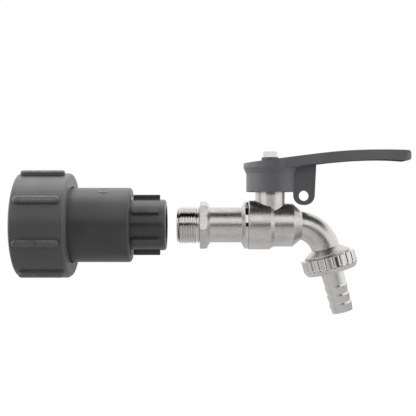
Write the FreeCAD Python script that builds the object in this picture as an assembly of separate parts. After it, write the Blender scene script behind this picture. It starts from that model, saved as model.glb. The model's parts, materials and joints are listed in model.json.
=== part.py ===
# Outlet kit of an IBC tank: a coupling-nut adapter of grey plastic and a nickel-plated ball tap.
# Millimetres. X runs along the pipe from the tank towards the tap, Z is up, and the origin is the
# centre of the coupling nut's open mouth. The tap stands a little way out of its socket, ready to be
# screwed in. Pieces that turn about the pipe are drawn as outlines of (along, radius, corner round).
import FreeCAD, Part
import math
import os
from FreeCAD import Vector

ALONG = Vector(1, 0, 0)
UP = Vector(0, 0, 1)
DEPTH = Vector(0, 1, 0)
CENTRE = Vector(0, 0, 0)

# ---- Coupling nut: grips the tank's coarse 60 mm thread -------------------------------------
nut_length = 37.5
tank_thread_radius = 30.2     # root of the coarse thread
nut_wall = 6.8
nut_radius = tank_thread_radius + nut_wall
nut_edge_round = 1.6          # at the mouth
nut_back_round = 2.6          # at the closed end
nut_lip = 5.2                 # wall that pulls on the bush collar
nut_ribs = 8
nut_rib_height = 3.2
nut_rib_width = 5.0
nut_rib_start = 2.8           # from the mouth
nut_rib_end_margin = 3.6      # from the closed end
nut_rib_turn = 17.5           # degrees of the first rib from the top, about the pipe
nut_rib_end_round = 2.3       # in plan
nut_rib_round = 1.4           # along the top edge

# ---- Collar bush, gasket and threaded socket -------------------------------------------------
swivel_gap = 0.3
collar_thickness = 6.0
collar_step = 1.8             # the collar is this much smaller than the nut's thread root
collar_radius = tank_thread_radius - collar_step
gasket_thickness = 3.0
gasket_bore = 19.0
bush_radius = 26.6
bush_length = 53.7
bush_edge_round = 1.8
bush_waterway = 17.0
glue_gap = 0.05
spigot_radius = 20.0
spigot_length = 24.0
socket_radius = 18.2
socket_length = 24.8
socket_edge_round = 2.0
socket_waterway = 9.5
socket_ribs = 6
socket_rib_height = 3.4
socket_rib_width = 2.9
socket_rib_start = 1.3
socket_rib_end_margin = 4.5
socket_rib_turn = 1.5
socket_rib_end_round = 0.6
socket_rib_round = 0.5

# ---- Pipe thread G 3/4 between socket and tap ------------------------------------------------
pipe_thread_root = 12.06      # radius of the male core
pipe_thread_crest = 13.22     # radius over the male thread
thread_clearance = 0.15
socket_thread_depth = 18.0
male_thread_length = 14.6
tap_gap = 7.7                 # socket end to thread start, as the tap stands unscrewed

# ---- Inlet neck of the tap -------------------------------------------------------------------
relief_length = 1.6
relief_radius = 11.5
seal_ring_tube = 0.6
seal_ring_gap = 0.3
hexagon_flats = 31.0
hexagon_turn = -20.0          # degrees of a corner from the top, about the pipe
hexagon_corner_radius = 17.7  # the corners are turned down to this
hexagon_length = 5.4
hexagon_bevel = 1.2
hexagon_cone = 1.9
hexagon_shoulder = hexagon_flats / 2 + 0.2
neck_radius = 12.5
neck_length = 22.2
flange_cone = 2.4
flange_length = 2.3           # polished land against the body
flange_radius = 17.0
inlet_bore = 8.0
neck_spigot_radius = 15.0
neck_spigot_length = 7.9
neck_seal_section = 1.5
neck_seal_offset = 1.6        # from the body's face

# ---- Valve body ------------------------------------------------------------------------------
stem_offset = 16.1            # body face to stem axis
body_wide_radius = 17.5
body_wide_length = 15.3
body_step = 2.8               # length of the slope between the two halves
body_narrow_radius = 15.5
body_narrow_end = 15.7        # stem axis to the end of the narrow half
body_cone = 6.4
body_edge_round = 1.2
body_cone_round = 1.8
chamber_radius = 13.2
screw_clearance = 0.1
column_radius = 10.7
column_top = 30.0
column_flare_z = 21.5         # above it the column is round
column_root_z = 9.0
column_root_depth = 11.9      # half-depth of the column's foot across the pipe
stop_lug_reach = 2.8
stop_lug_z = 24.8
stop_width = 20.0             # degrees
stop_gap = 1.6                # degrees
stop_turn = 135.0             # degrees, where the lever's stop rib stands when open
quarter_turn = 90.0

# ---- Ball, seats and stem --------------------------------------------------------------------
ball_radius = 12.4
ball_bore = 7.0
ball_slot_width = 5.8
ball_slot_floor = 9.1
running_gap = 0.08
seat_radius = 11.0
seat_bore = 7.5
seat_back = 12.0              # from the ball's centre
seat_front = 7.0
seat_seat_gap = 0.05
stem_radius = 5.0
stem_shoulder_radius = 7.0
stem_shoulder_z = 12.9
stem_shoulder_height = 2.3
thrust_washer_thickness = 1.2
tang_width = 5.6
tang_floor = 9.3
tang_length = 12.0
packing_floor = 23.5
packing_radius = 8.0
packing_height = 3.4
gland_flats = 17.0
gland_height = 4.0
flats_start = 35.0
stem_flats = 7.6
stem_top = 45.4

# ---- Lever, bolt and washer ------------------------------------------------------------------
hub_radius = 19.06
hub_rim_z = 40.8
skirt_radius = 17.1
skirt_top_z = 36.5
skirt_bottom_z = 23.6
skirt_wall = 2.5
hub_ceiling_z = 37.5
lever_reach = 100.1           # stem axis to the tip
lever_grip_half = 9.0         # half-width at the narrowest place
lever_end_half = 10.0
lever_waist_reach = 40.0      # stem axis to the narrowest place
lever_waist_round = 60.0
lever_end_round = 6.0
lever_wall = 2.7
lever_skin = 3.0
lever_slot_start = 27.0
plate_front_z = 43.8          # top of the lever before the hub
plate_back_z = 46.9           # and just behind the stem
plate_back_reach = 6.7
arm_reach = 48.6              # stem axis to the middle of the arm
arm_top_z = 52.3
arm_under_z = 45.1
grip_reach = 76.5             # stem axis to the middle of the grip
grip_top_z = 53.4
grip_under_z = 46.6
tip_top_z = 53.0
tip_nose_z = 49.8
tip_under_z = 45.8
tip_slant = 3.0               # the nose stands this far out
heel_rise = 1.0               # the arm's underside starts this far above the hub's rim
blank_height = 60.0           # taller than the lever anywhere
spot_face_z = 46.0
spot_face_radius = 6.9
tab_top_reach = 33.1
tab_root_rise = 7.6           # the tab runs up into the lever's skin
tab_centre_x = 24.05
tab_centre_z = 21.55
tab_end_radius = 7.35
tab_hole_z = 20.8
tab_hole_radius = 3.65
tab_thickness = 4.0
washer_radius = 6.15
washer_thickness = 2.2
washer_bore = 3.2
bolt_radius = 3.0
bolt_length = 12.0
bolt_head_flats = 10.0
bolt_head_height = 4.3

# ---- Spout, outlet union nut and hose nozzle -------------------------------------------------
spout_radius = 10.1
spout_bore = 7.5
bend_radius = 22.2
bend_lead = 2.6               # straight run between the narrow half and the bend
bend_degrees = 75.0
outlet_cone = 4.7
outlet_flange_radius = 16.1
outlet_core_radius = 15.15    # core of the G 1 thread
outlet_thread_length = 6.8
union_thread_radius = 16.75
union_gap = 0.3
union_radius = 19.4
union_end_radius = 17.5
union_length = 11.4
union_chamfer = 3.1
union_lip = 2.0
union_flutes = 24
flute_radius = 1.9
flute_offset = 1.0            # flute axis outside the nut's surface
flute_length = 6.6
nozzle_gasket_thickness = 1.5
nozzle_collar_radius = 14.4
nozzle_collar_thickness = 1.7
nozzle_shank_radius = 8.5
nozzle_bore = 5.6
nozzle_neck_start = 8.2
nozzle_neck_end = 7.5
nozzle_length = 29.9          # below the union nut
barb_count = 3
barb_start = 10.2             # below the union nut
barb_pitch = 6.4
barb_radius = 8.0
barb_root = 7.3
barb_land = 1.4

# ---- Stations along the pipe, worked out from the sizes above --------------------------------
lip_x = nut_length - nut_lip
collar_x = lip_x - swivel_gap - collar_thickness
gasket_x = collar_x - gasket_thickness
swivel_bore = collar_radius + swivel_gap
bush_end = collar_x + bush_length
spigot_x = bush_end - spigot_length
socket_end = bush_end + socket_length
tap_x = socket_end + tap_gap
relief_x = tap_x + male_thread_length
hexagon_x = relief_x + relief_length
neck_x = hexagon_x + hexagon_length + hexagon_cone
flange_x = neck_x + neck_length + flange_cone
body_x = flange_x + flange_length
stem_x = body_x + stem_offset
spout_x = stem_x + body_narrow_end + body_cone
bend_x = stem_x + body_narrow_end + bend_lead
bend_angle = math.radians(bend_degrees)
bend_centre = Vector(bend_x, 0, -bend_radius)
outlet = bend_centre + Vector(math.sin(bend_angle), 0, math.cos(bend_angle)) * bend_radius
downspout = Vector(math.cos(bend_angle), 0, -math.sin(bend_angle))
stem_foot = Vector(stem_x, 0, 0)
ball_centre = Vector(stem_x, 0, 0)
shoulder_top = stem_shoulder_z + stem_shoulder_height
bonnet_ceiling = shoulder_top + thrust_washer_thickness
outlet_face = outlet_cone + outlet_thread_length
collar_s = outlet_face + nozzle_gasket_thickness
union_lip_s = collar_s + nozzle_collar_thickness + union_gap
union_start = union_lip_s + union_lip - union_length
union_end = union_lip_s + union_lip


def rounded_outline(corners):
    """Closed wire in the XZ plane through (x, z, round) corners; a round turns its corner into an arc."""
    points = [Vector(x, 0, z) for x, z, _ in corners]
    ends = []
    for i, (_, _, radius) in enumerate(corners):
        here = points[i]
        back = (points[i - 1] - here).normalize()
        ahead = (points[(i + 1) % len(points)] - here).normalize()
        if radius <= 0:
            ends.append((here, None, here))
            continue
        half = back.getAngle(ahead) / 2
        inward = (back + ahead).normalize()
        run = radius / math.tan(half)
        middle = here + inward * (radius / math.sin(half) - radius)
        ends.append((here + back * run, middle, here + ahead * run))
    edges = []
    for i, (start, middle, finish) in enumerate(ends):
        if middle is not None:
            edges.append(Part.Arc(start, middle, finish).toShape())
        following = ends[(i + 1) % len(ends)][0]
        if finish.distanceToPoint(following) > 1e-6:
            edges.append(Part.LineSegment(finish, following).toShape())
    return Part.Wire(edges)


def placed(shape, base, direction):
    """Move a shape drawn along X from the origin so that it starts at base and runs along direction."""
    shape.Placement = FreeCAD.Placement(base, FreeCAD.Rotation(ALONG, direction))
    return shape


def turned(corners, base=CENTRE, direction=ALONG):
    """Revolve an outline of (along, radius, round) corners into a solid."""
    solid = Part.Face(rounded_outline(corners)).revolve(CENTRE, ALONG, 360)
    if solid.Volume < 0:
        solid.reverse()
    return placed(solid, base, direction)


def rod(radius, start, finish, base=CENTRE, direction=ALONG):
    return placed(Part.makeCylinder(radius, finish - start, ALONG * start, ALONG), base, direction)


def tube(outer, inner, start, finish, base=CENTRE, direction=ALONG):
    return turned([(start, inner, 0), (start, outer, 0), (finish, outer, 0), (finish, inner, 0)],
                  base, direction)


def prism(corners, half_depth):
    """Extrude an outline in the XZ plane to both sides of it."""
    face = Part.Face(rounded_outline(corners))
    face.translate(DEPTH * -half_depth)
    return face.extrude(DEPTH * (2 * half_depth))


def hexagon(flats, start, finish, turn=0.0):
    """Hexagonal bar along X with a corner turned by some degrees from the top."""
    reach = flats / math.sqrt(3)
    corners = []
    for step in range(7):
        angle = math.radians(turn + 60 * step)
        corners.append(Vector(start, -reach * math.sin(angle), reach * math.cos(angle)))
    return Part.Face(Part.makePolygon(corners)).extrude(ALONG * (finish - start))


def rib(start, finish, foot, crest, width, end_round, edge_round):
    """Grip rib that stands up from the radius foot: rounded ends in plan and a rounded top edge."""
    half = width / 2
    plan = Part.Face(rounded_outline([
        (start, -half, end_round), (start, half, end_round),
        (finish, half, end_round), (finish, -half, end_round)]))
    plan.rotate(CENTRE, ALONG, 90)
    plan.translate(UP * foot)
    bar = plan.extrude(UP * (crest - foot))
    top_edges = [edge for edge in bar.Edges if edge.BoundBox.ZMin > crest - 1e-3]
    return bar.makeFillet(edge_round, top_edges)


def around_pipe(shape, count, turn):
    """Copies of a shape, evenly spaced about the pipe."""
    copies = []
    for step in range(count):
        copy = shape.copy()
        copy.rotate(CENTRE, ALONG, turn + 360.0 * step / count)
        copies.append(copy)
    return copies


def sector(inner, outer, low, high, centre_degrees, width_degrees):
    """Piece of a ring about the stem, centred on a bearing from +X."""
    base = Vector(stem_x, 0, low)
    ring = Part.makeCylinder(outer, high - low, base, UP, width_degrees)
    ring = ring.cut(Part.makeCylinder(inner, high - low, base, UP))
    ring.rotate(base, UP, centre_degrees - width_degrees / 2)
    return ring


def coupling_nut():
    """Ribbed nut: thread bore, a slightly narrower chamber for gasket and collar, and the lip."""
    lip_bore = bush_radius + swivel_gap * 2
    nut = turned([
        (0, tank_thread_radius, 0), (0, nut_radius, nut_edge_round),
        (nut_length, nut_radius, nut_back_round), (nut_length, lip_bore, 0.6),
        (lip_x, lip_bore, 0), (lip_x, swivel_bore, 0),
        (gasket_x - swivel_gap, swivel_bore, 0), (gasket_x - swivel_gap, tank_thread_radius, 0)])
    foot = (tank_thread_radius + nut_radius) / 2
    bar = rib(nut_rib_start, nut_length - nut_rib_end_margin, foot, nut_radius + nut_rib_height,
              nut_rib_width, nut_rib_end_round, nut_rib_round)
    return nut.fuse(around_pipe(bar, nut_ribs, nut_rib_turn)).removeSplitter()


def tank_gasket():
    return tube(collar_radius - swivel_gap, gasket_bore, gasket_x, collar_x)


def collar_bush():
    """Sleeve with a collar behind the nut's lip and a glue socket for the threaded end."""
    collar_end = collar_x + collar_thickness
    return turned([
        (collar_x, bush_waterway, 0), (collar_x, collar_radius, 0.5),
        (collar_end, collar_radius, 0.5), (collar_end, bush_radius, 0),
        (bush_end, bush_radius, bush_edge_round), (bush_end, spigot_radius + glue_gap, 0),
        (spigot_x, spigot_radius + glue_gap, 0), (spigot_x, bush_waterway, 0)])


def threaded_socket():
    """Glued-in insert with grip ribs and the female pipe thread that takes the tap."""
    thread_wall = pipe_thread_crest + thread_clearance
    thread_end = socket_end - socket_thread_depth
    socket = turned([
        (spigot_x, socket_waterway, 0), (spigot_x, spigot_radius, 0), (bush_end, spigot_radius, 0),
        (bush_end, socket_radius, 0), (socket_end, socket_radius, socket_edge_round),
        (socket_end, thread_wall, 0), (thread_end, thread_wall, 0), (thread_end, socket_waterway, 0)])
    foot = (thread_wall + socket_radius) / 2
    bar = rib(bush_end + socket_rib_start, socket_end - socket_rib_end_margin, foot,
              socket_radius + socket_rib_height, socket_rib_width, socket_rib_end_round, socket_rib_round)
    return socket.fuse(around_pipe(bar, socket_ribs, socket_rib_turn)).removeSplitter()


def thread_seal():
    """Ring in the relief behind the male thread."""
    radius = relief_radius + seal_ring_gap + seal_ring_tube
    centre = ALONG * (hexagon_x - seal_ring_gap - seal_ring_tube)
    return Part.makeTorus(radius, seal_ring_tube, centre, ALONG)


def inlet_neck():
    """Screwed-in inlet: thread core, hexagon, plain neck, round flange and the seat carrier."""
    cone_x = hexagon_x + hexagon_length
    flange_cone_x = neck_x + neck_length
    seat_end = stem_x - seat_back
    spigot_end = body_x + neck_spigot_length
    groove_x = body_x + neck_seal_offset
    groove_end = groove_x + neck_seal_section
    groove_floor = neck_spigot_radius - neck_seal_section
    neck = turned([
        (tap_x, inlet_bore, 0), (tap_x, pipe_thread_root, 0.6), (relief_x, pipe_thread_root, 0),
        (relief_x, relief_radius, 0), (hexagon_x, relief_radius, 0),
        (hexagon_x, hexagon_flats / 2 - 0.4, 0), (cone_x, hexagon_shoulder, 0),
        (neck_x, neck_radius, 0.5), (flange_cone_x, neck_radius, 0.5),
        (flange_x, flange_radius, 0.2), (body_x, flange_radius, 0.3),
        (body_x, neck_spigot_radius, 0), (groove_x, neck_spigot_radius, 0), (groove_x, groove_floor, 0),
        (groove_end, groove_floor, 0), (groove_end, neck_spigot_radius, 0),
        (spigot_end, neck_spigot_radius, 0.3), (spigot_end, seat_radius + seat_seat_gap, 0),
        (seat_end, seat_radius + seat_seat_gap, 0), (seat_end, inlet_bore, 0)])
    corners = turned([
        (hexagon_x, inlet_bore, 0), (hexagon_x, hexagon_corner_radius - 0.5, 0),
        (hexagon_x + 0.5, hexagon_corner_radius, 0), (cone_x - hexagon_bevel, hexagon_corner_radius, 0),
        (cone_x, hexagon_corner_radius - hexagon_bevel, 0), (cone_x, inlet_bore, 0)])
    nut = hexagon(hexagon_flats, hexagon_x, cone_x, hexagon_turn).common(corners)
    return neck.fuse(nut).removeSplitter()


def neck_seal():
    groove_x = body_x + neck_seal_offset
    return tube(neck_spigot_radius - seat_seat_gap, neck_spigot_radius - neck_seal_section + seat_seat_gap,
                groove_x + seat_seat_gap, groove_x + neck_seal_section - seat_seat_gap)


def seat(direction):
    """Plastic ring with a hollow face that the ball turns in."""
    ring = tube(seat_radius, seat_bore, seat_front, seat_back, ball_centre, direction)
    return ring.cut(Part.makeSphere(ball_radius + running_gap, ball_centre))


def bonnet_column():
    """Column round the stem: round above, spread across the pipe where it joins the body."""
    top = Part.Wire(Part.makeCircle(column_radius, stem_foot + UP * column_top, UP))
    waist = Part.Wire(Part.makeCircle(column_radius, stem_foot + UP * column_flare_z, UP))
    waist.rotate(stem_foot, UP, 90)
    foot_curve = Part.Ellipse(stem_foot + UP * column_root_z + DEPTH * column_root_depth,
                              stem_foot + UP * column_root_z + ALONG * column_radius,
                              stem_foot + UP * column_root_z)
    foot = Part.Wire(foot_curve.toShape())
    round_part = Part.makeLoft([waist, top], True)
    flare = Part.makeLoft([foot, waist], True)
    return round_part.fuse(flare)


def valve_body():
    """Forged body: ball chamber in two steps, bonnet column with stops, and the bent spout."""
    narrow_x = body_x + body_wide_length + body_step
    narrow_end = stem_x + body_narrow_end
    body = turned([
        (body_x, 0, 0), (body_x, body_wide_radius, body_edge_round),
        (body_x + body_wide_length, body_wide_radius, body_edge_round),
        (narrow_x, body_narrow_radius, 1.0), (narrow_end, body_narrow_radius, body_cone_round),
        (spout_x, spout_radius, 0), (spout_x, 0, 0)])
    ring = Part.Face(Part.Wire(Part.makeCircle(spout_radius, Vector(bend_x, 0, 0), ALONG)))
    bend = ring.revolve(bend_centre, DEPTH, bend_degrees)
    end = turned([
        (0, 0, 0), (0, spout_radius, 0), (outlet_cone - 1.0, outlet_flange_radius, 0.3),
        (outlet_cone, outlet_flange_radius, 0.2), (outlet_cone, outlet_core_radius, 0),
        (outlet_face, outlet_core_radius, 0.5), (outlet_face, 0, 0)], outlet, downspout)
    body = body.fuse([bonnet_column(), bend, end]).removeSplitter()
    for side in (1, -1):
        bearing = stop_turn + side * (stop_width + stop_gap)
        if side < 0:
            bearing -= quarter_turn
        lug = sector(column_radius - 1.0, column_radius + stop_lug_reach, stop_lug_z, column_top,
                     bearing, stop_width)
        body = body.fuse(lug)
    waterway = turned([
        (body_x, 0, 0), (body_x, neck_spigot_radius + screw_clearance, 0),
        (body_x + neck_spigot_length + 0.3, neck_spigot_radius + screw_clearance, 0),
        (body_x + neck_spigot_length + 0.3, chamber_radius, 0), (stem_x + seat_front + 0.9, chamber_radius, 0),
        (stem_x + seat_front + 0.9, seat_radius + seat_seat_gap, 0),
        (stem_x + seat_back, seat_radius + seat_seat_gap, 0), (stem_x + seat_back, spout_bore, 0),
        (bend_x, spout_bore, 0), (bend_x, 0, 0)])
    bore_face = Part.Face(Part.Wire(Part.makeCircle(spout_bore, Vector(bend_x, 0, 0), ALONG)))
    bore_bend = bore_face.revolve(bend_centre, DEPTH, bend_degrees)
    drop = rod(spout_bore, 0, outlet_face, outlet, downspout)
    stem_hole = turned([
        (0, 0, 0), (0, stem_shoulder_radius + screw_clearance, 0),
        (bonnet_ceiling, stem_shoulder_radius + screw_clearance, 0),
        (bonnet_ceiling, stem_radius + running_gap, 0), (packing_floor, stem_radius + running_gap, 0),
        (packing_floor, packing_radius + seat_seat_gap, 0), (column_top, packing_radius + seat_seat_gap, 0),
        (column_top, 0, 0)], stem_foot, UP)
    return body.cut([waterway, bore_bend, drop, stem_hole])


def ball():
    """Bored ball with a slot across its top for the stem's tang."""
    sphere = Part.makeSphere(ball_radius, ball_centre)
    bore = rod(ball_bore, -ball_radius, ball_radius, ball_centre)
    slot = Part.makeBox(ball_slot_width, 2 * ball_radius, ball_radius,
                        Vector(stem_x - ball_slot_width / 2, -ball_radius, ball_slot_floor))
    return sphere.cut([bore, slot])


def stem():
    """Stem pushed in from inside: tang, shoulder, shaft, flats for the lever and a tapped top."""
    shaft = turned([
        (stem_shoulder_z, 0, 0), (stem_shoulder_z, stem_shoulder_radius, 0),
        (shoulder_top, stem_shoulder_radius, 0), (shoulder_top, stem_radius, 0),
        (stem_top, stem_radius, 0.5), (stem_top, bolt_radius + seat_seat_gap, 0),
        (stem_top - bolt_length, bolt_radius + seat_seat_gap, 0), (stem_top - bolt_length, 0, 0)],
        stem_foot, UP)
    tang = Part.makeBox(tang_width, tang_length, stem_shoulder_z - tang_floor + 0.5,
                        Vector(stem_x - tang_width / 2, -tang_length / 2, tang_floor))
    return shaft.fuse(tang).cut(stem_flat_cutters(stem_flats)).removeSplitter()


def stem_flat_cutters(flats):
    """Two boxes that leave a double-D of the given width across the pipe."""
    cutters = []
    for side in (1, -1):
        box = Part.makeBox(4 * stem_radius, stem_radius, stem_top - flats_start + 2.0)
        near = flats / 2 if side > 0 else -flats / 2 - stem_radius
        box.translate(Vector(stem_x - 2 * stem_radius, near, flats_start))
        cutters.append(box)
    return cutters


def thrust_washer():
    return tube(stem_shoulder_radius, stem_radius + running_gap, shoulder_top + seat_seat_gap,
                bonnet_ceiling, stem_foot, UP)


def stem_packing():
    return tube(packing_radius, stem_radius + running_gap, packing_floor, packing_floor + packing_height,
                stem_foot, UP)


def gland_nut():
    """Screwed gland that presses on the packing; its hexagon stands above the column."""
    head = hexagon(gland_flats, column_top, column_top + gland_height)
    head = placed(head, stem_foot, UP)
    shank = rod(packing_radius, packing_floor + packing_height, column_top + 0.5, stem_foot, UP)
    return head.fuse(shank).cut(rod(stem_radius + running_gap, 0, stem_top, stem_foot, UP))


def lever_side(drop=0.0):
    """Side of the lever as a prism: a tilted plate over the hub that flattens out into the grip."""
    left = stem_x - hub_radius - 1.0
    tip = stem_x + lever_reach
    top = Part.BSplineCurve()
    tip_top = Vector(tip - tip_slant + 0.5, 0, tip_top_z)
    tip_under = Vector(tip - tip_slant - 0.5, 0, tip_under_z)
    heel = Vector(stem_x + hub_radius + 0.5, 0, hub_rim_z + heel_rise)
    front = Vector(left, 0, plate_front_z)
    top.interpolate([front, Vector(stem_x + plate_back_reach, 0, plate_back_z),
                     Vector(stem_x + arm_reach, 0, arm_top_z), Vector(stem_x + grip_reach, 0, grip_top_z),
                     tip_top])
    under = Part.BSplineCurve()
    under.interpolate([tip_under, Vector(stem_x + grip_reach, 0, grip_under_z),
                       Vector(stem_x + arm_reach, 0, arm_under_z), heel])
    nose = Part.Arc(tip_top, Vector(tip, 0, tip_nose_z), tip_under)
    rim = Part.makePolygon([heel, Vector(heel.x, 0, hub_rim_z), Vector(left, 0, hub_rim_z), front])
    outline = Part.Wire([top.toShape(), nose.toShape(), under.toShape()] + rim.Edges)
    face = Part.Face(outline)
    face.translate(Vector(0, -2 * hub_radius, -drop))
    return face.extrude(DEPTH * (4 * hub_radius))


def lever_plan(wall=0.0, start=2.0):
    """Plan of the arm as an upright prism: tapers from the hub to the grip, then widens a little."""
    shoulder = hub_radius - 0.4 - (start - 2.0) * 0.25 - wall
    grip = lever_grip_half - wall
    end = lever_end_half - wall
    tip = lever_reach - wall * 1.2
    end_round = lever_end_round - wall
    corners = [(start, -shoulder, 0), (lever_waist_reach, -grip, lever_waist_round), (tip, -end, end_round),
               (tip, end, end_round), (lever_waist_reach, grip, lever_waist_round), (start, shoulder, 0)]
    face = Part.Face(rounded_outline(corners))
    face.rotate(CENTRE, ALONG, -90)
    face.translate(Vector(stem_x, 0, skirt_bottom_z))
    return face.extrude(UP * blank_height)


def lever():
    """Die-cast lever: hub with a hollow skirt, arm hollow below, padlock tab and a stop rib inside."""
    disc = rod(hub_radius, hub_rim_z - 0.5, blank_height, stem_foot, UP)
    arm = lever_side().common(disc.fuse(lever_plan()))
    hollow = lever_side(lever_skin).common(lever_plan(lever_wall, lever_slot_start))
    hub = turned([
        (skirt_bottom_z, 0, 0), (skirt_bottom_z, skirt_radius, 0.4), (skirt_top_z, skirt_radius, 1.0),
        (hub_rim_z, hub_radius, 0), (hub_rim_z, 0, 0)], stem_foot, UP)
    root_x = stem_x + skirt_radius - skirt_wall / 2
    left = stem_x + tab_centre_x - tab_end_radius
    right = stem_x + tab_centre_x + tab_end_radius
    low = tab_centre_z - tab_end_radius
    tab = prism([
        (root_x, hub_rim_z + 3.0, 0), (root_x, skirt_bottom_z + 1.2, 0), (left, skirt_bottom_z - 1.0, 0),
        (left, low, 0.95 * tab_end_radius), (right, low, 0.95 * tab_end_radius),
        (stem_x + tab_top_reach, hub_rim_z + tab_root_rise, 0)], tab_thickness / 2)
    boss = rod(spot_face_radius, hub_rim_z, spot_face_z, stem_foot, UP)
    body = arm.cut(hollow).fuse([hub, tab, boss]).removeSplitter()
    inside = skirt_radius - skirt_wall
    cup = rod(inside, skirt_bottom_z - 1.0, hub_ceiling_z, stem_foot, UP)
    above_boss = rod(spot_face_radius, spot_face_z, spot_face_z + 10.0, stem_foot, UP)
    stem_hole = rod(stem_radius + running_gap, hub_ceiling_z - 1.0, spot_face_z + 1.0, stem_foot, UP)
    stem_hole = stem_hole.cut(stem_flat_cutters(stem_flats + 2 * running_gap))
    padlock = placed(Part.makeCylinder(tab_hole_radius, 2 * tab_thickness, CENTRE, ALONG),
                     Vector(stem_x + tab_centre_x, -tab_thickness, tab_hole_z), DEPTH)
    body = body.cut([cup, above_boss, stem_hole, padlock])
    stop = sector(column_radius + swivel_gap, inside + 0.5, stop_lug_z - 0.6, hub_ceiling_z + 0.5,
                  stop_turn, stop_width)
    return body.fuse(stop)


def lever_washer():
    return tube(washer_radius, washer_bore, spot_face_z, spot_face_z + washer_thickness, stem_foot, UP)


def lever_bolt():
    """Hexagon-head bolt down into the stem, with a chamfered head."""
    under_head = spot_face_z + washer_thickness
    head = hexagon(bolt_head_flats, under_head, under_head + bolt_head_height, 90)
    head = placed(head, stem_foot, UP)
    corner = bolt_head_flats / math.sqrt(3)
    top = under_head + bolt_head_height
    dome = turned([
        (under_head, 0, 0), (under_head, corner, 0), (top - 0.7, corner, 0),
        (top, corner - 1.3, 0.3), (top, 0, 0)], stem_foot, UP)
    shank = rod(bolt_radius, stem_top - bolt_length + 0.8, under_head + 0.5, stem_foot, UP)
    return head.common(dome).fuse(shank).removeSplitter()


def nozzle_gasket():
    return tube(nozzle_collar_radius - swivel_gap, spout_bore + swivel_gap, outlet_face + seat_seat_gap,
                collar_s, outlet, downspout)


def hose_nozzle():
    """Collar held by the union nut, slightly tapered neck, and barbs that slope towards the tip."""
    tip = union_end + nozzle_length
    first = union_end + barb_start
    corners = [
        (collar_s, nozzle_bore, 0), (collar_s, nozzle_collar_radius, 0.2),
        (collar_s + nozzle_collar_thickness, nozzle_collar_radius, 0.2),
        (collar_s + nozzle_collar_thickness, nozzle_shank_radius, 0),
        (union_end + 0.3, nozzle_shank_radius, 0), (union_end + 0.3, nozzle_neck_start, 0),
        (first, nozzle_neck_end, 0)]
    for step in range(barb_count):
        start = first + step * barb_pitch
        following = start + barb_pitch if step < barb_count - 1 else tip
        corners += [(start, barb_radius, 0), (start + barb_land, barb_radius, 0), (following, barb_root, 0)]
    corners += [(tip, nozzle_bore, 0)]
    return turned(corners, outlet, downspout)


def union_nut():
    """Outlet union nut with scalloped flutes that run out above its plain lower band."""
    hole = nozzle_shank_radius + swivel_gap
    nut = turned([
        (union_start, union_thread_radius, 0), (union_start, union_radius, 0.5),
        (union_end - union_chamfer, union_radius, 1.5), (union_end, union_end_radius, 0.6),
        (union_end, hole, 0), (union_lip_s, hole, 0), (union_lip_s, union_thread_radius, 0)])
    cutter = rod(flute_radius, union_start - 1.0, union_start + flute_length)
    cutter = cutter.fuse(Part.makeSphere(flute_radius, ALONG * (union_start + flute_length)))
    cutter.translate(UP * (union_radius + flute_offset))
    return placed(nut.cut(around_pipe(cutter, union_flutes, 0.0)), outlet, downspout)


PIECES = {
    "coupling_nut": coupling_nut,
    "tank_gasket": tank_gasket,
    "collar_bush": collar_bush,
    "threaded_socket": threaded_socket,
    "thread_seal": thread_seal,
    "inlet_neck": inlet_neck,
    "neck_seal": neck_seal,
    "inlet_seat": lambda: seat(-ALONG),
    "ball": ball,
    "outlet_seat": lambda: seat(ALONG),
    "valve_body": valve_body,
    "stem": stem,
    "thrust_washer": thrust_washer,
    "stem_packing": stem_packing,
    "gland_nut": gland_nut,
    "lever": lever,
    "lever_washer": lever_washer,
    "lever_bolt": lever_bolt,
    "nozzle_gasket": nozzle_gasket,
    "hose_nozzle": hose_nozzle,
    "union_nut": union_nut,
}


def main():
    os.makedirs("parts", exist_ok=True)
    for name, make in PIECES.items():
        piece = make()
        solids = piece.Solids
        if len(solids) == 1:
            piece = solids[0]
        box = piece.BoundBox
        print(f"{name:16} solids {len(solids)} valid {piece.isValid()} volume {piece.Volume:9.1f} "
              f"x {box.XMin:7.2f} {box.XMax:7.2f} z {box.ZMin:7.2f} {box.ZMax:7.2f}")
        piece.exportStep(f"parts/{name}.step")


main()
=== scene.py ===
# %% [markdown]
# # A container outlet kit: coupling-nut adapter and ball tap
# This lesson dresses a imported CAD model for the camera. The model already holds every piece at its
# real size, in metres: a grey plastic adapter that screws onto a tank outlet, and a nickel-plated
# ball tap that screws into the adapter. Here the pieces get their finishes, the threads that the
# solids leave out, small moulding marks, light, a floor and a camera.

# %% Load the frame
import json
import math
import bmesh
import bpy
from mathutils import Matrix, Vector


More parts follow.
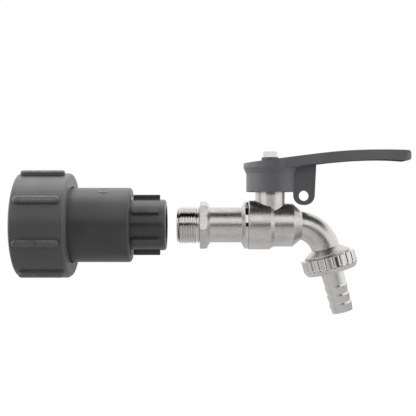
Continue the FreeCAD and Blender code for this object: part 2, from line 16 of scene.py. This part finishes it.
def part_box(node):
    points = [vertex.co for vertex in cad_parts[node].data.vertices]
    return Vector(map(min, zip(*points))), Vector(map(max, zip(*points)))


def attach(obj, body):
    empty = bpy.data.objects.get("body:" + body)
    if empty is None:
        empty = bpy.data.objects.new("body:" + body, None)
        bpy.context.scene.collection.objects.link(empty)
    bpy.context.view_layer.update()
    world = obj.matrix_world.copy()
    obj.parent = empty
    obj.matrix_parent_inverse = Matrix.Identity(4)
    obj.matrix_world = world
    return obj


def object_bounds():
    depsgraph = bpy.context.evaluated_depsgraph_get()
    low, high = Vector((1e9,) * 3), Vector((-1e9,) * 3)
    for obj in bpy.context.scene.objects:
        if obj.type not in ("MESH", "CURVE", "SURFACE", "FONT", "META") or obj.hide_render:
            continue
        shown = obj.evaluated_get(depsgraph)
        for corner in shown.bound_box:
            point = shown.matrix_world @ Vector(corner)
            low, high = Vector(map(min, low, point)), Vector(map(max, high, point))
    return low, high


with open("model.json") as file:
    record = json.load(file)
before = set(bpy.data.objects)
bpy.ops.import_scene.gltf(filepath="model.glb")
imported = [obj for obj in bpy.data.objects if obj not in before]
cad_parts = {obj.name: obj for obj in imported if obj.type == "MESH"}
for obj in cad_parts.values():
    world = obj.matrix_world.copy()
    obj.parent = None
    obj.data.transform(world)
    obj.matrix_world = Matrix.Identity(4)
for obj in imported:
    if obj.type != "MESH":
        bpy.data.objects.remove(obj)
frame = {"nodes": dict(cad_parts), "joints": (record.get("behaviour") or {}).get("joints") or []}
cad_low, cad_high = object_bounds()
nodes = frame["nodes"]
joints = {joint["name"]: joint for joint in frame["joints"]}
MM = 0.001

# %% [markdown]
# ## Places that everything else is measured from
# The pipe axis is the X axis. The outlet's axis is the joint axis of the union nut, and the ends of
# the pieces come from their boxes. Radii that no box gives, such as a thread's, are named values
# beside the piece that uses them.

# %% Places
ORIGIN = Vector((0, 0, 0))
PIPE = Vector((1, 0, 0))
OUTLET_AXIS = Vector(joints["union_nut_turn"]["axis"]).normalized()
OUTLET_MARK = 10 * MM                       # the joint's point lies this far down the outlet
SPOUT_END = Vector(joints["union_nut_turn"]["pos_m"]) - OUTLET_AXIS * OUTLET_MARK


def span(node):
    """First and last x of a node's box."""
    low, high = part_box(node)
    return low.x, high.x


NUT_START = span("coupling_nut")[0]
SOCKET_END = span("threaded_socket")[1]
TAP_START = span("inlet_neck")[0]
BODY_START = span("valve_body")[0]
print("outlet starts at", SPOUT_END, "and runs along", OUTLET_AXIS)

# %% [markdown]
# ## Writing shaders as sums
# A finish is easier to read as arithmetic than as a list of node links. `Flow` wraps one socket
# and turns `+`, `-` and `*` into Math nodes. `Recipe` owns a node tree and has one method, `node`,
# that adds any other node: its settings first, then the values or links of its sockets. `Finish`
# is the recipe of a material with a Principled surface.

# %% Flow, Recipe and Finish
class Flow:
    """An output socket that can be used in sums."""

    def __init__(self, recipe, socket):
        self.recipe = recipe
        self.socket = socket

    def math(self, operation, *operands):
        return self.recipe.node("ShaderNodeMath", {"operation": operation}, dict(enumerate(operands)))

    def __add__(self, other):
        return self.math("ADD", self, other)

    def __radd__(self, other):
        return self.math("ADD", other, self)

    def __sub__(self, other):
        return self.math("SUBTRACT", self, other)

    def __rsub__(self, other):
        return self.math("SUBTRACT", other, self)

    def __mul__(self, other):
        return self.math("MULTIPLY", self, other)

    def __rmul__(self, other):
        return self.math("MULTIPLY", other, self)

    def above(self, level):
        return self.math("GREATER_THAN", self, level)

    def below(self, level):
        return self.math("LESS_THAN", self, level)

    def larger(self, other):
        return self.math("MAXIMUM", self, other)

    def root(self):
        return self.math("SQRT", self)

    def sine(self):
        return self.math("SINE", self)

    def ramp(self, start, finish):
        """0 at start, 1 at finish, smooth between them."""
        settings = {"interpolation_type": "SMOOTHSTEP", "clamp": True}
        sockets = {0: self, 1: start, 2: finish, 3: 0.0, 4: 1.0}
        return self.recipe.node("ShaderNodeMapRange", settings, sockets)


class Recipe:
    """A node tree and the ways to add to it."""

    def __init__(self, tree):
        self.tree = tree

    def connect(self, socket, value):
        if isinstance(value, Flow):
            self.tree.links.new(value.socket, socket)
        else:
            socket.default_value = value

    def node(self, kind, settings=None, sockets=None, output=0):
        made = self.tree.nodes.new(kind)
        for name, value in (settings or {}).items():
            setattr(made, name, value)
        for key, value in (sockets or {}).items():
            self.connect(made.inputs[key], value)
        return Flow(self, made.outputs[output])

    def ray(self, kind):
        """1 where the ray that arrives is of this kind: Camera, Glossy or Transmission."""
        return self.node("ShaderNodeLightPath", output="Is " + kind + " Ray")


class Finish(Recipe):
    """A material with a Principled surface."""

    def __init__(self, name, **surface):
        self.material = bpy.data.materials.new(name)
        self.material.use_nodes = True
        super().__init__(self.material.node_tree)
        self.surface = self.tree.nodes["Principled BSDF"]
        self.place = self.node("ShaderNodeTexCoord", output="Object")
        for socket, value in surface.items():
            self.set(socket.replace("_", " "), value)

    def set(self, socket, value):
        self.connect(self.surface.inputs[socket], value)

    def parts(self):
        """The x, y and z of the object's own coordinates."""
        split = self.node("ShaderNodeSeparateXYZ", {}, {0: self.place})
        return [Flow(self, output) for output in split.socket.node.outputs]

    def noise(self, scale, detail=3.0, rough=0.55):
        sockets = {"Vector": self.place, "Scale": scale, "Detail": detail, "Roughness": rough}
        return self.node("ShaderNodeTexNoise", {}, sockets)

    def mix(self, factor, low, high):
        """Blend two colours; sockets 6 and 7 of a Mix node are its colour inputs, output 2 its colour."""
        return self.node("ShaderNodeMix", {"data_type": "RGBA"}, {0: factor, 6: low, 7: high}, output=2)

    def bump(self, height, strength, distance):
        sockets = {"Strength": strength, "Distance": distance, "Height": height}
        self.set("Normal", self.node("ShaderNodeBump", {}, sockets))


def grey(value, warmth=0.0):
    """A grey as a colour; warmth lifts red and lowers blue a little."""
    return (value * (1 + warmth), value, value * (1 - warmth), 1.0)


print("shader helpers:", Flow.__name__, Recipe.__name__, Finish.__name__)

# %% [markdown]
# ## Grey plastics of the adapter
# The nut, the sleeve and the socket are three mouldings of the same grey compound. Each keeps the
# traces of how it was made: faint flow mottling in the colour, fine turning lines round the sleeve,
# a grain of tiny pits, and paler rubbed spots where hands and tools catch the proud edges.

# %% Moulded plastic
TURNING_PITCH = 0.55 * MM


def moulded_plastic(name, tone, roughness, lines, proud_radius):
    """Grey plastic; lines sets how strongly it is ringed, proud_radius where rubbing starts."""
    finish = Finish(name, Specular_IOR_Level=0.5)
    x, y, z = finish.parts()
    radius = (y * y + z * z).root()
    flow = finish.noise(45.0, 4.0, 0.6)
    fine = finish.noise(900.0, 2.0, 0.5)
    scuffs = finish.noise(160.0, 5.0, 0.75).ramp(0.60, 0.78)
    proud = radius.ramp(proud_radius - 0.5 * MM, proud_radius + 0.3 * MM)
    rubbed = proud * finish.noise(220.0).ramp(0.35, 0.7)
    base = finish.mix(flow.ramp(0.3, 0.7), grey(tone * 0.88), grey(tone * 1.12))
    base = finish.mix(scuffs * 0.22, base, grey(tone * 1.9))
    base = finish.mix(rubbed * 0.35, base, grey(tone * 2.2))
    finish.set("Base Color", base)
    finish.set("Roughness", roughness + (flow - 0.5) * 0.16 + scuffs * 0.12 + (fine - 0.5) * 0.08)
    rings = (x * (2 * math.pi / TURNING_PITCH)).sine()
    finish.bump(fine * 0.5 + rings * lines + flow * 0.6, 0.25, 0.05 * MM)
    return finish.material


nut_grey = moulded_plastic("nut_grey", 0.088, 0.38, 0.10, 39.3 * MM)
sleeve_grey = moulded_plastic("sleeve_grey", 0.066, 0.40, 0.22, 60.0 * MM)
socket_grey = moulded_plastic("socket_grey", 0.062, 0.25, 0.04, 21.0 * MM)
print("plastics:", nut_grey.name, sleeve_grey.name, socket_grey.name)

# %% [markdown]
# ## Nickel over brass
# The tap is forged brass, shot-blasted and nickel-plated, so most of it is a satin metal with tiny
# dimples. Faces that were machined after forging, such as the thread, the flange and the nuts,
# stay bright. One recipe serves both: a mask between 0 and 1 says where the metal is bright, and
# it turns down the dimples and the roughness.

# %% Nickel plate
BRIGHT = grey(0.74, 0.030)
LATHE_PITCH = 0.35 * MM


def nickel(name, machined, polish=0.13, direction=PIPE):
    """Nickel-plated brass. machined is the bright mask, a number or a function of the finish; polish is
    the roughness of bright faces and direction the lathe's axis."""
    finish = Finish(name, Metallic=1.0)
    bright = machined(finish) if callable(machined) else machined
    dimples = finish.noise(950.0, 3.0, 0.65)
    cloud = finish.noise(90.0, 4.0, 0.6)
    specks = finish.noise(1300.0, 3.0, 0.6).ramp(0.57, 0.72)
    satin = finish.mix(cloud.ramp(0.35, 0.7), grey(0.66, 0.04), grey(0.76, 0.03))
    satin = finish.mix(specks * 0.50, satin, grey(0.26, 0.06))
    finish.set("Base Color", finish.mix(bright, satin, BRIGHT))
    stain = finish.noise(300.0, 4.0, 0.7).ramp(0.55, 0.8)
    matt = 0.30 + (dimples - 0.5) * 0.22 + stain * 0.08
    shiny = polish + stain * 0.10
    finish.set("Roughness", matt * (1.0 - bright) + shiny * bright)
    along = finish.node("ShaderNodeVectorMath", {"operation": "DOT_PRODUCT"},
                        {0: finish.place, 1: tuple(direction)}, output=1)
    lathe = (along * (2 * math.pi / LATHE_PITCH)).sine()
    finish.bump(dimples * (1.0 - bright) + lathe * bright * 0.05 + cloud * 0.2, 0.50, 0.11 * MM)
    return finish.material


THREAD_END = TAP_START + 16.0 * MM          # the thread and the relief behind it
FLANGE_START = BODY_START - 2.35 * MM       # just before the flange's front face


def neck_machined(finish):
    """Bright thread and flange; the hexagon and the plain neck between them stay blasted."""
    x = finish.parts()[0]
    return x.below(THREAD_END) + x.above(FLANGE_START)


neck_nickel = nickel("neck_nickel", neck_machined, polish=0.05)
body_nickel = nickel("body_nickel", 0.0)
nut_nickel = nickel("nut_nickel", 1.0, direction=OUTLET_AXIS)
print("nickel finishes:", neck_nickel.name, body_nickel.name, nut_nickel.name)

# %% [markdown]
# ## Lever paint, fasteners and seals
# The lever is die-cast and powder-coated: an even grey with the soft orange peel of baked powder.
# The bolt is bright zinc, its washer dark spring steel. The seals inside are rubber and white
# seat plastic; they show when the nut or the tap is taken off.

# %% Powder coat, plain metals and seals
def powder_coat(name, tone):
    finish = Finish(name)
    peel = finish.noise(700.0, 2.0, 0.5)
    cloud = finish.noise(55.0, 3.0, 0.6)
    chips = finish.noise(420.0, 3.0, 0.7).ramp(0.70, 0.80)
    base = finish.mix(cloud.ramp(0.3, 0.7), (tone * 0.93, tone * 0.95, tone * 0.99, 1),
                      (tone * 1.05, tone * 1.07, tone * 1.12, 1))
    finish.set("Base Color", finish.mix(chips * 0.25, base, grey(tone * 2.0)))
    finish.set("Roughness", 0.40 + (peel - 0.5) * 0.14 + cloud * 0.05)
    finish.bump(peel, 0.22, 0.08 * MM)
    return finish.material


def plain_metal(name, colour, roughness):
    finish = Finish(name, Metallic=1.0)
    patches = finish.noise(260.0, 4.0, 0.6)
    darker = tuple(part * 0.8 for part in colour[:3]) + (1,)
    finish.set("Base Color", finish.mix(patches.ramp(0.3, 0.75), darker, colour))
    finish.set("Roughness", roughness + (patches - 0.5) * 0.2)
    finish.bump(finish.noise(1200.0, 2.0), 0.15, 0.05 * MM)
    return finish.material


def soft_seal(name, tone, roughness):
    finish = Finish(name)
    mottle = finish.noise(500.0, 3.0)
    finish.set("Base Color", finish.mix(mottle.ramp(0.3, 0.7), grey(tone * 0.85), grey(tone * 1.1)))
    finish.set("Roughness", roughness + (mottle - 0.5) * 0.2)
    finish.bump(finish.noise(1500.0, 2.0), 0.3, 0.05 * MM)
    return finish.material


lever_coat = powder_coat("lever_coat", 0.130)
zinc = plain_metal("bright_zinc", (0.85, 0.86, 0.88, 1), 0.20)
spring_steel = plain_metal("spring_steel", (0.16, 0.16, 0.16, 1), 0.34)
ball_chrome = plain_metal("ball_chrome", (0.82, 0.82, 0.83, 1), 0.08)
rubber = soft_seal("black_rubber", 0.022, 0.62)
seat_white = soft_seal("seat_white", 0.80, 0.42)
print("paint, metals and seals:", lever_coat.name, zinc.name, spring_steel.name, ball_chrome.name,
      rubber.name, seat_white.name)

# %% [markdown]
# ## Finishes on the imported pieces
# Each piece of the CAD model is one node with material slots of its own. The node itself stays as
# it came, and only what its slots hold is exchanged.

# %% Hand every CAD node its finish
FINISHES = {
    "coupling_nut": nut_grey, "collar_bush": sleeve_grey, "threaded_socket": socket_grey,
    "tank_gasket": rubber, "thread_seal": nut_nickel, "neck_seal": rubber, "nozzle_gasket": rubber,
    "inlet_neck": neck_nickel, "valve_body": body_nickel, "gland_nut": nut_nickel, "stem": nut_nickel,
    "ball": ball_chrome, "inlet_seat": seat_white, "outlet_seat": seat_white,
    "thrust_washer": seat_white, "stem_packing": seat_white,
    "lever": lever_coat, "lever_bolt": zinc, "lever_washer": spring_steel,
    "hose_nozzle": nut_nickel, "union_nut": nut_nickel,
}
for node_name, material in FINISHES.items():
    for slot in nodes[node_name].material_slots:
        slot.material = material
print("finished nodes:", len(FINISHES), "of", len(nodes))

# %% [markdown]
# ## Threads
# A thread is one small profile carried round an axis while it moves along it. Blender's spin
# operator does that: it turns the profile step by step and shifts it by a fixed amount each step.
# At both ends the ridge sinks back to its root, as a cut thread runs out.

# %% Helical ridge
def add_piece(name, mesh_builder, material, body):
    """Make an object from a filled bmesh, give it its finish and let it ride on its body."""
    mesh = bpy.data.meshes.new(name)
    mesh_builder.to_mesh(mesh)
    mesh_builder.free()
    piece = bpy.data.objects.new(name, mesh)
    bpy.context.scene.collection.objects.link(piece)
    mesh.materials.append(material)
    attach(piece, body)
    return piece


def helix(profile, start, length, pitch, run_out, base=ORIGIN, axis=PIPE, phase=0.0):
    """Bmesh of a ridge round an axis. profile is (along, radius) corners of one tooth, root first and
    last; run_out is how far from each end the tooth sinks back to its root."""
    steps = 40
    turns = length / pitch
    turn_to_axis = PIPE.rotation_difference(axis).to_matrix().to_4x4()
    placing = Matrix.Translation(base) @ turn_to_axis
    bm = bmesh.new()
    corners = [bm.verts.new((start + along, 0.0, radius)) for along, radius in profile]
    edges = [bm.edges.new(pair) for pair in zip(corners, corners[1:] + corners[:1])]
    bmesh.ops.rotate(bm, verts=corners, cent=(0, 0, 0), matrix=Matrix.Rotation(phase, 3, "X"))
    bm.faces.new(corners)
    count = round(turns * steps)
    bmesh.ops.spin(bm, geom=edges, cent=(0, 0, 0), axis=PIPE, dvec=PIPE * (pitch / steps),
                   angle=2 * math.pi * count / steps, steps=count, use_merge=False)
    bmesh.ops.holes_fill(bm, edges=[edge for edge in bm.edges if edge.is_boundary], sides=0)
    bmesh.ops.remove_doubles(bm, verts=bm.verts, dist=1e-6)
    root = profile[0][1]
    finish = start + length
    for vertex in bm.verts:
        near_end = min(vertex.co.x - start, finish - vertex.co.x)
        height = min(max(near_end / run_out, 0.0), 1.0)
        radius = math.hypot(vertex.co.y, vertex.co.z)
        wanted = root + (radius - root) * height
        vertex.co.y *= wanted / radius
        vertex.co.z *= wanted / radius
    bmesh.ops.recalc_face_normals(bm, faces=bm.faces)
    bmesh.ops.transform(bm, matrix=placing, verts=bm.verts)
    return bm


def tooth(pitch, root, crest, root_width, crest_width):
    """Corners of one tooth, centred on its start; root and crest are radii, widths shares of the pitch."""
    half_root = pitch * root_width / 2
    half_crest = pitch * crest_width / 2
    return [(-half_root, root), (-half_crest, crest), (half_crest, crest), (half_root, root)]


def between(start, partner_start, pitch):
    """Angle at which a ridge has to start to lie midway in the grooves of its partner."""
    return 2 * math.pi * ((start - partner_start) / pitch + 0.5)


BURIED = 0.10 * MM                          # how far a ridge's foot lies inside its carrier
print("thread helpers:", helix.__name__, tooth.__name__, between.__name__)

# %% [markdown]
# ## The pipe thread
# The tap's thread and the socket's thread are two ridges of one pitch, one on a core and one in a
# wall. They start half a pitch apart, so each lies in the other's grooves, and they stay there while
# the tap is screwed in, because the joint that turns it moves it by the same pitch.

# %% Pipe thread on the tap and in the socket
PIPE_PITCH = 25.4 * MM / 14
PIPE_END_GAP = 1.0 * MM                     # plain stretch between a thread and its piece's end
PIPE_RUN_OUT = 0.9 * MM
MALE_CORE = 12.06 * MM
MALE_CREST = 13.22 * MM
MALE_LENGTH = 13.2 * MM
FEMALE_WALL = 13.37 * MM
FEMALE_CREST = 12.30 * MM
FEMALE_LENGTH = 15.6 * MM

male_start = TAP_START + PIPE_END_GAP
male_tooth = tooth(PIPE_PITCH, MALE_CORE - BURIED, MALE_CREST, 0.92, 0.30)
add_piece("tap_thread", helix(male_tooth, male_start, MALE_LENGTH, PIPE_PITCH, PIPE_RUN_OUT),
          neck_nickel, "tap")

female_start = SOCKET_END - PIPE_END_GAP - FEMALE_LENGTH
female_tooth = tooth(PIPE_PITCH, FEMALE_WALL + BURIED, FEMALE_CREST, 0.80, 0.10)
female = helix(female_tooth, female_start, FEMALE_LENGTH, PIPE_PITCH, PIPE_RUN_OUT,
               phase=between(female_start, male_start, PIPE_PITCH))
add_piece("socket_thread", female, socket_grey, "adapter")
print("pipe thread turns:", round(MALE_LENGTH / PIPE_PITCH, 1))

# %% [markdown]
# ## The outlet thread
# The spout's end and the union nut carry the same kind of pair along the slanted outlet. They are
# made on the X axis like the pipe thread, then turned and moved onto the outlet's axis.

# %% Outlet thread on the spout and in the union nut
OUTLET_PITCH = 25.4 * MM / 11
OUTLET_RUN_OUT = 0.7 * MM
SPOUT_CORE = 15.15 * MM
SPOUT_CREST = 16.5 * MM
SPOUT_THREAD_START = 5.8 * MM
SPOUT_THREAD_LENGTH = 4.6 * MM
UNION_WALL = 16.75 * MM
UNION_CREST = 15.45 * MM
UNION_THREAD_START = 6.4 * MM
UNION_THREAD_LENGTH = 7.0 * MM

spout_tooth = tooth(OUTLET_PITCH, SPOUT_CORE - BURIED, SPOUT_CREST, 0.94, 0.16)
spout_ridge = helix(spout_tooth, SPOUT_THREAD_START, SPOUT_THREAD_LENGTH, OUTLET_PITCH, OUTLET_RUN_OUT,
                    SPOUT_END, OUTLET_AXIS)
add_piece("spout_thread", spout_ridge, body_nickel, "tap")

union_tooth = tooth(OUTLET_PITCH, UNION_WALL + BURIED, UNION_CREST, 0.80, 0.10)
union_ridge = helix(union_tooth, UNION_THREAD_START, UNION_THREAD_LENGTH, OUTLET_PITCH, OUTLET_RUN_OUT,
                    SPOUT_END, OUTLET_AXIS, between(UNION_THREAD_START, SPOUT_THREAD_START, OUTLET_PITCH))
add_piece("union_nut_thread", union_ridge, nut_nickel, "union_nut")
print("outlet thread turns:", round(SPOUT_THREAD_LENGTH / OUTLET_PITCH, 1))

# %% Tank thread in the coupling nut
TANK_PITCH = 6.0 * MM
TANK_WALL = 30.2 * MM
TANK_CREST = 28.7 * MM
TANK_THREAD_START = NUT_START + 3.0 * MM
TANK_THREAD_LENGTH = 16.5 * MM
TANK_RUN_OUT = 2.0 * MM

tank_tooth = tooth(TANK_PITCH, TANK_WALL + BURIED, TANK_CREST, 0.62, 0.30)
tank_thread = helix(tank_tooth, TANK_THREAD_START, TANK_THREAD_LENGTH, TANK_PITCH, TANK_RUN_OUT)
add_piece("tank_thread_ridge", tank_thread, nut_grey, "coupling_nut")
print("tank thread turns:", round(TANK_THREAD_LENGTH / TANK_PITCH, 1))

# %% [markdown]
# ## Moulding marks
# A moulding shows where its mould came apart and where it was pushed out. The nut has a thin
# parting ring near its open mouth. The sleeve has one round ejector mark on its upper side,
# a flat face with a bevelled rim that stands a hair proud of the curved wall.

# %% Parting ring and ejector mark
def ring_ridge(x, radius, height, width):
    """A hair-thin ridge round the pipe axis: one small triangle spun a full turn."""
    bm = bmesh.new()
    corners = [bm.verts.new((x + along, 0.0, radius + rise))
               for along, rise in ((-width / 2, -height), (0.0, height), (width / 2, -height))]
    edges = [bm.edges.new(pair) for pair in zip(corners, corners[1:] + corners[:1])]
    bmesh.ops.spin(bm, geom=edges, cent=(0, 0, 0), axis=PIPE, angle=2 * math.pi, steps=128, use_merge=True)
    bmesh.ops.remove_doubles(bm, verts=bm.verts, dist=1e-7)
    bmesh.ops.recalc_face_normals(bm, faces=bm.faces)
    return bm


def wall_disc(x, degrees_up, wall_radius, disc_radius, height):
    """A flat round pad with a bevelled rim, standing a little proud of a cylinder round the pipe axis."""
    foot = wall_radius * (1 - math.cos(disc_radius / wall_radius)) + height
    bm = bmesh.new()
    bmesh.ops.create_circle(bm, cap_ends=True, segments=64, radius=disc_radius)
    sides = bmesh.ops.extrude_face_region(bm, geom=list(bm.faces))
    top = [item for item in sides["geom"] if isinstance(item, bmesh.types.BMVert)]
    bmesh.ops.translate(bm, vec=(0, 0, 2 * foot), verts=top)
    rim = [edge for edge in bm.edges if all(vertex in top for vertex in edge.verts)]
    bmesh.ops.bevel(bm, geom=rim, offset=0.25 * MM, segments=3, profile=0.5, affect="EDGES", material=-1)
    bmesh.ops.translate(bm, vec=(x, 0, wall_radius + height - 2 * foot), verts=bm.verts)
    turn = Matrix.Rotation(math.radians(90.0 - degrees_up), 3, "X")
    bmesh.ops.rotate(bm, verts=bm.verts, cent=(0, 0, 0), matrix=turn)
    bmesh.ops.recalc_face_normals(bm, faces=bm.faces)
    return bm


NUT_RADIUS = 37.0 * MM
PARTING_X = NUT_START + 7.0 * MM
PARTING_HEIGHT = 0.10 * MM
PARTING_WIDTH = 0.35 * MM
SLEEVE_RADIUS = 26.6 * MM
MARK_X = 61.0 * MM
MARK_DEGREES_UP = 67.0
MARK_RADIUS = 4.5 * MM
MARK_HEIGHT = 0.06 * MM

add_piece("nut_parting_ring", ring_ridge(PARTING_X, NUT_RADIUS, PARTING_HEIGHT, PARTING_WIDTH),
          nut_grey, "coupling_nut")
add_piece("sleeve_ejector_mark", wall_disc(MARK_X, MARK_DEGREES_UP, SLEEVE_RADIUS, MARK_RADIUS, MARK_HEIGHT),
          socket_grey, "adapter")
print("parting ring at x", round(PARTING_X, 4), "ejector mark at x", MARK_X)

# %% [markdown]
# ## Floor and surroundings
# The background is white for the camera and in reflections, so that bright metal shows it too. Dull
# surfaces get only a little light from it, because the lamps are to shape them. The floor's own grey
# paint takes the shadow, but it is one hundredth of what the camera sees there, so the shadow is
# barely visible.

# %% Floor and world
FLOOR_DROP = 0.13                           # metres from the lowest point of the object to the floor
FLOOR_PAINT = 0.15
FLOOR_WHITE_SEEN = 0.99                     # white share of the floor for the camera
FLOOR_WHITE_MIRRORED = 0.35                 # white share of the floor in reflections
SURROUNDINGS = 0.16                         # strength of the white world on dull surfaces
MIDDLE = Vector((0.134, 0.0, 0.0))


def floor_material():
    """Pale floor: nearly white to the camera, greyer in reflections, dark for other rays."""
    material = bpy.data.materials.new("pale_floor")
    material.use_nodes = True
    floor = Recipe(material.node_tree)
    paint = floor.node("ShaderNodeBsdfDiffuse", {}, {"Color": grey(FLOOR_PAINT)})
    white = floor.node("ShaderNodeEmission")
    share = floor.ray("Camera") * FLOOR_WHITE_SEEN + floor.ray("Glossy") * FLOOR_WHITE_MIRRORED
    blend = floor.node("ShaderNodeMixShader", {}, {0: share, 1: paint, 2: white})
    floor.connect(floor.tree.nodes["Material Output"].inputs["Surface"], blend)
    floor.tree.nodes.remove(floor.tree.nodes["Principled BSDF"])
    return material


def stage_plane(name, size, centre, facing, material, hidden=False):
    """A flat stage panel that faces a point; a hidden one is seen by reflections only."""
    bm = bmesh.new()
    bmesh.ops.create_grid(bm, x_segments=1, y_segments=1, size=0.5)
    bmesh.ops.scale(bm, vec=(size[0], size[1], 1.0), verts=bm.verts)
    mesh = bpy.data.meshes.new(name)
    bm.to_mesh(mesh)
    bm.free()
    panel = bpy.data.objects.new(name, mesh)
    bpy.context.scene.collection.objects.link(panel)
    mesh.materials.append(material)
    panel.location = centre
    panel.rotation_euler = (Vector(facing) - Vector(centre)).to_track_quat("Z", "Y").to_euler()
    panel.visible_camera = not hidden
    panel.visible_diffuse = not hidden
    panel.visible_shadow = not hidden


floor_level = cad_low.z - FLOOR_DROP
stage_plane("floor", (12.0, 12.0), (MIDDLE.x, 0.0, floor_level), (MIDDLE.x, 0.0, 5.0), floor_material())

world = bpy.data.worlds.new("studio")
bpy.context.scene.world = world
world.use_nodes = True
sky = Recipe(world.node_tree)
backdrop = sky.tree.nodes["Background"]
shown_white = sky.ray("Camera").larger(sky.ray("Glossy")).larger(sky.ray("Transmission"))
sky.connect(backdrop.inputs["Color"], grey(1.0))
sky.connect(backdrop.inputs["Strength"], SURROUNDINGS + shown_white * (1.0 - SURROUNDINGS))
print("floor at", round(floor_level, 4))

# %% [markdown]
# ## Flags and lamps
# Dull surfaces and bright metal are lit apart. A broad lamp above and a little behind gives the
# plastics and the lever their pale upper edges, and one lamp at each side rounds them; none of the
# three shows in reflections. Bright metal mirrors its whole surroundings, so two dark flags stand
# far off, one overhead and one behind the camera, and give the nickel the dark bands that make it
# look like metal. The camera never sees the flags.

# %% Flags and lamps
black = Finish("flag_cloth", Roughness=1.0, Base_Color=grey(0.01))


def flag(name, elevation, height, width, distance):
    """Dark panel on the camera's side of the object, at an elevation from its middle."""
    up = math.radians(elevation)
    away = Vector((0.0, -math.cos(up), math.sin(up)))
    stage_plane(name, (width, height), MIDDLE + away * distance, MIDDLE, black.material, hidden=True)


def soft_lamp(name, size, place, power):
    """Soft light for the dull surfaces; bright metal mirrors the surroundings instead."""
    lamp = bpy.data.lights.new(name, "AREA")
    lamp.shape = "RECTANGLE"
    lamp.size, lamp.size_y = size
    lamp.energy = power
    holder = bpy.data.objects.new(name, lamp)
    bpy.context.scene.collection.objects.link(holder)
    holder.location = place
    holder.rotation_euler = (MIDDLE - Vector(place)).to_track_quat("-Z", "Y").to_euler()
    holder.visible_glossy = False


flag("flag_overhead", 70.0, 1.4, 5.0, 1.9)
flag("flag_camera", 0.0, 0.72, 2.3, 1.7)
soft_lamp("top_light", (1.2, 0.6), (0.10, 0.30, 1.25), 50.0)
soft_lamp("left_light", (0.6, 1.0), (-1.05, -0.17, 0.15), 24.0)
soft_lamp("right_light", (0.5, 1.0), (1.25, -0.50, 0.10), 12.0)
print("lamps:", [light.name for light in bpy.data.lights])

# %% [markdown]
# ## Camera
# The view is straight from the side, close to the height of the pipe, with a moderate lens so that
# the nut's near rim swells a little.

# %% Camera
SENSOR_WIDTH = 36.0                         # millimetres, as the lens length
LENS_LENGTH = 64.904
CAMERA_PLACE = (0.1342, -0.5375, 0.0121)

lens = bpy.data.cameras.new("camera")
lens.sensor_width = SENSOR_WIDTH
lens.lens = LENS_LENGTH
camera = bpy.data.objects.new("camera", lens)
bpy.context.scene.collection.objects.link(camera)
camera.location = CAMERA_PLACE
camera.rotation_euler = (math.radians(90.0), 0.0, 0.0)
bpy.context.scene.camera = camera
bpy.context.scene.view_settings.view_transform = "Standard"
print("lens", round(lens.lens, 1), "mm")
